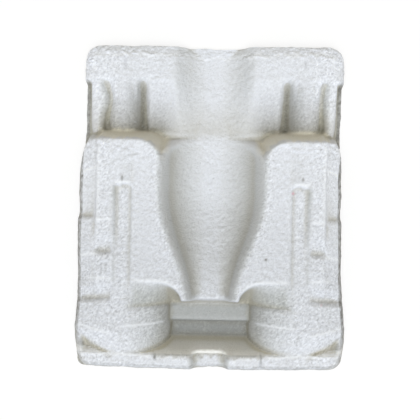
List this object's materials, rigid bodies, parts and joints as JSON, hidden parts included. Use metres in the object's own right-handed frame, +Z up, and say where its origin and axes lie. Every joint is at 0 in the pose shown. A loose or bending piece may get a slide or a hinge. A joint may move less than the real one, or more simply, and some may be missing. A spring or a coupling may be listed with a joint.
{
  "type": "bottle layer pad",
  "caption": "Moulded pulp layer pad: a bottle-shaped trough between raised, slotted shoulder blocks, with bottle pockets underneath, to pack bottles head to tail in a carton.",
  "frame": {"origin": "centre of the bounding box's bottom face, on the plane the pad rests on", "axes": "+X across the bottles, +Y along the bottle in the trough towards its base, +Z up"},
  "size_m": [0.24, 0.294, 0.046],
  "materials": {
    "pulp": "rough uncoated moulded pulp"
  },
  "bodies": {
    "root": {"pulp_pad": "pulp"}
  },
  "joints": []
}
